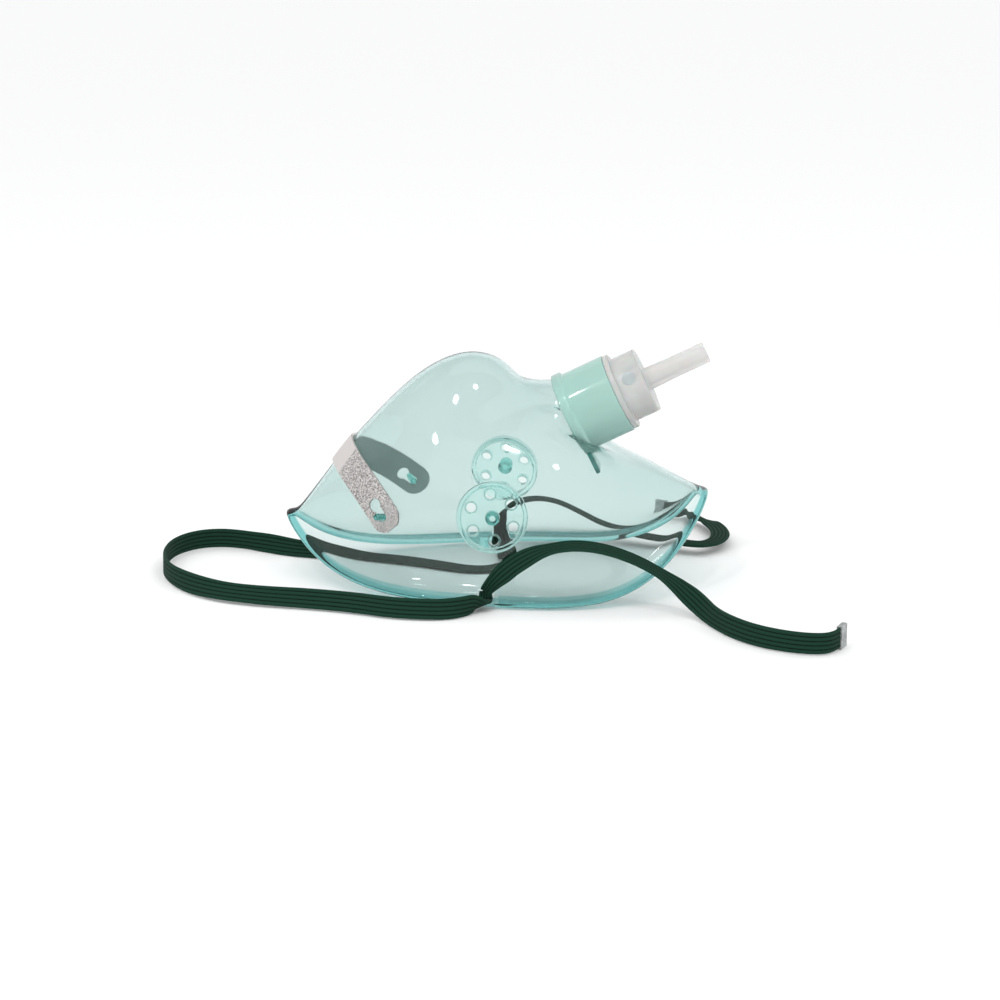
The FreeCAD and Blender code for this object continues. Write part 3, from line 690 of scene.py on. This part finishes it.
HEAD_LOOP = [
    NEAR_SLOT, (SLOT_X, -35.2, 3.4), (-1, -35.9, 1.9), (-1.4, -38.8, 1.4), (-3.4, -42.8, 1.6),
    (-8, -47.4, 2.2), (-16, -49.6, LEVEL), (-27, -48.4, LEVEL), (-39, -43.4, LEVEL),
    (-52, -40.4, LEVEL), (-66, -38, LEVEL), (-79.5, -33.6, LEVEL), (-91, -25, LEVEL),
    (-98.6, -13, LEVEL), (-101.6, 1, LEVEL), (-100.8, 14, LEVEL), (-94.6, 23.6, LEVEL),
    (-84, 25.4, LEVEL), (-72, 20, FLAT), (-59, 16, FLAT), (-44, 14.6, FLAT),
    (-30, 11.2, FLAT), (-17.6, 6, FLAT), (-8, 1.4, FLAT), (0.4, 3.4, FLAT),
    (2.8, 10, FLAT), (2, 19, 2.6), (0.2, 26.6, 2.1), (-0.7, 31.6, 1.4),
    (-1, 34.4, 2), (SLOT_X, 35.3, 4.6), FAR_SLOT,
]
NEAR_TAIL = [
    NEAR_SLOT, (0.4, -35.8, 6.6), (4.2, -36.8, 10.6), (9.6, -37.2, 14.8), (15.6, -37.2, 17.6),
    (23, -37, 19.2), (31, -37, 18.8), (39, -37.2, 16.6), (46.6, -37.6, 13.2),
    (53, -38.6, 9.2), (58.2, -41.4, 5.6), (61.8, -46.8, 3.6), (64.8, -54, LEVEL),
    (69, -61.8, LEVEL), (74.8, -68.8, LEVEL), (82, -73.8, LEVEL), (89.8, -76.4, LEVEL),
    (95.8, -75.2, LEVEL), (97.8, -70.4, LEVEL),
]
FAR_TAIL = [
    FAR_SLOT, (-0.2, 36.4, 10.2), (3.2, 38.2, 12.8), (9.4, 40.4, 14), (16.6, 41.6, 12.8),
    (23.6, 42, 9.4), (31, 41.4, 5.6), (39.4, 38.4, 3.4), (48.4, 33.8, LEVEL),
    (56.2, 28.4, LEVEL), (62.6, 26.4, LEVEL), (67, 31.4, LEVEL), (68.6, 40, LEVEL),
    (67.2, 50, LEVEL), (63, 59.4, LEVEL), (57.6, 66.8, LEVEL), (52, 72, LEVEL),
]

# How the band stands along each stretch: (share of its length, direction of its width).
UPRIGHT = (0, 0, 1)
LOOP_STAND = [
    (0, (1, 0, 0)), (0.02, (0.9, 0, 0.4)), (0.045, (0.3, 0.3, 0.9)), (0.08, (0, 0.4, 0.9)),
    (0.2, (0, 0.5, 0.85)), (0.3, (0, 0.7, 0.7)), (0.4, (0, 0.2, 0.95)), (0.47, UPRIGHT), (0.58, UPRIGHT),
    (0.66, (0, 0.7, 0.7)), (0.74, (0, 1, 0.1)), (0.88, (0, 1, 0)), (0.94, (1, 0, 0.1)), (0.985, (1, 0, 0)),
    (1, (0.7, 0.7, 0)),
]
NEAR_STAND = [
    (0, (1, 0, 0)), (0.04, (0.8, -0.3, -0.6)), (0.10, (0.5, -0.5, -0.7)), (0.2, (0.1, -0.96, -0.25)),
    (0.42, (0, -0.96, -0.25)), (0.55, (-0.2, -0.6, -0.75)), (0.68, (-0.1, -0.3, -0.95)), (1, (0, 0, -1)),
]
FAR_STAND = [
    (0, (0.7, 0.7, 0)), (0.05, (0, 1, 0)), (0.17, (0, 1, -0.1)), (0.55, (0.2, 1, 0)), (0.6, (-0.2, 1, 0)),
    (0.65, (-0.8, 0.6, 0)), (0.72, (-1, 0, 0)), (0.8, (-1, -0.1, 0)), (0.9, (-0.6, -0.4, 0.7)),
    (1, (-0.2, -0.2, 0.95)),
]


def route_line(points):
    """The smooth line of a route, as close points in millimetres."""
    curve = bpy.data.curves.new("route", "CURVE")
    curve.dimensions = "3D"
    curve.resolution_u = 14
    spline = curve.splines.new("NURBS")
    spline.points.add(len(points) - 1)
    for point, place in zip(spline.points, points):
        point.co = (*(Vector(place) * MM), 1)
    spline.order_u = 3
    spline.use_endpoint_u = True
    holder = bpy.data.objects.new("route", curve)
    bpy.context.collection.objects.link(holder)
    line = [v.co / MM for v in bpy.data.meshes.new_from_object(holder).vertices]
    bpy.data.objects.remove(holder)
    return line


def stand_at(stand, share):
    """The direction of the band's width at that share of its length."""
    for (start, first), (end, second) in zip(stand, stand[1:]):
        if share <= end:
            mix = (share - start) / (end - start)
            mix = mix * mix * (3 - 2 * mix)
            return Vector(first).lerp(Vector(second), mix)
    return Vector(stand[-1][1])


def band_outline():
    """The band's section, as (across, through, height of the rib there), with ribs on both faces."""
    half, gauge = STRAP_WIDTH / 2, STRAP_GAUGE / 2
    steps = RIBS * 8
    face = []
    for step in range(steps + 1):
        across = -half + STRAP_WIDTH * step / steps
        rib = abs(math.sin(math.pi * RIBS * step / steps)) ** 0.6
        edge = max(0.0, abs(across) - (half - gauge)) / gauge
        through = (gauge - RIB_DEPTH) * math.sqrt(max(0.0, 1 - edge * edge)) + RIB_DEPTH * rib * (1 - edge)
        face.append((across, through, max(rib, edge)))
    return face + [(a, -t, rib) for a, t, rib in face[-2:0:-1]]


# The band is narrower in its slots. It is lifted where its edge would sink in the floor, with an easy start.
GATHERED = 0.6
GATHER_LENGTH = 8.0
LIFT_EASE = 0.5
CLEAR_OF_FLOOR = 0.05


def ribbed_band(name, route, stand, both_ends):
    """The band along its route, as the object, its middle line in metres and its length in metres."""
    line = route_line(route)
    gaps = [(b - a).length for a, b in zip(line, line[1:])]
    whole = sum(gaps)
    outline = band_outline()
    points, middle = [], []
    travelled = 0.0
    for i, place in enumerate(line):
        ahead = (line[min(i + 1, len(line) - 1)] - line[max(i - 1, 0)]).normalized()
        across = stand_at(stand, travelled / whole)
        across = (across - ahead * across.dot(ahead)).normalized()
        through = ahead.cross(across)
        to_slot = min(travelled, whole - travelled if both_ends else travelled)
        gathered = GATHERED + (1 - GATHERED) * min(1.0, to_slot / GATHER_LENGTH)
        ring = [place + across * (a * gathered) + through * t for a, t, _ in outline]
        sunk = CLEAR_OF_FLOOR - min(p.z for p in ring)
        lift = Vector((0, 0, (sunk + math.sqrt(sunk * sunk + LIFT_EASE * LIFT_EASE)) / 2))
        points += [p + lift for p in ring]
        middle.append((place + lift) * MM)
        if i < len(gaps):
            travelled += gaps[i]
    count = len(outline)
    rings = len(line)
    faces = [
        (r * count + i, r * count + (i + 1) % count, (r + 1) * count + (i + 1) % count, (r + 1) * count + i)
        for r in range(rings - 1) for i in range(count)
    ]
    faces += [tuple(range(count)), tuple(range((rings - 1) * count, rings * count))]
    obj = new_mesh(name, points, faces, 60)
    # The rib heights set painted shade in the elastic's grooves.
    heights = obj.data.attributes.new(RIB_HEIGHT_SHADE, "FLOAT", "POINT")
    heights.data.foreach_set("value", [rib for _ in line for _, _, rib in outline])
    return obj, middle, sum((b - a).length for a, b in zip(middle, middle[1:]))


STRETCHES = [
    ("strap_loop_band", HEAD_LOOP, LOOP_STAND, "strap_head_loop", None),
    ("strap_near_band", NEAR_TAIL, NEAR_STAND, "strap_near_tail", "strap_tag_near"),
    ("strap_far_band", FAR_TAIL, FAR_STAND, "strap_far_tail", "strap_tag_far"),
]
for name, route, stand, node, tag in STRETCHES:
    band, line, length = ribbed_band(name, route, stand, tag is None)
    dressed(band, "elastic")
    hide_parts(node)


# ---- the floor and the light ----
FLOOR_HALF = 14000
LIGHTS_AIM = Vector((0, 0, 30))
LIGHTS_DISTANCE = 900


def floor():
    """A wide white floor, just under the object."""
    half = FLOOR_HALF
    points = [(-half, -half, 0), (half, -half, 0), (half, half, 0), (-half, half, 0)]
    plane = new_mesh("floor", points, [(0, 1, 2, 3)])
    plane.location.z = -0.0001
    plane.data.materials.append(material("floor_white", (0.95, 0.955, 0.955), 0.9, Specular_IOR_Level=0.1))


def soft_box(name, azimuth, elevation, size, watts):
    """A round light that shines at the object from that direction, in degrees."""
    light = bpy.data.lights.new(name, "AREA")
    light.shape = "DISK"
    light.size = size * MM
    light.energy = watts
    holder = bpy.data.objects.new(name, light)
    holder.matrix_world = look_from(
        LIGHTS_AIM, LIGHTS_DISTANCE, math.radians(azimuth), math.radians(elevation),
    )
    bpy.context.collection.objects.link(holder)


floor()
soft_box("key_light", -32, 52, 60, 0.8)
soft_box("fill_light", -8, 62, 60, 0.6)
soft_box("low_light", -44, 36, 50, 0.4)
soft_box("side_light", 38, 46, 80, 0.5)
world = bpy.data.worlds.new("studio")
world.use_nodes = True
world.node_tree.nodes["Background"].inputs["Color"].default_value = (1, 1, 1, 1)
world.node_tree.nodes["Background"].inputs["Strength"].default_value = 1.0
bpy.context.scene.world = world
bpy.context.scene.view_settings.view_transform = "Standard"
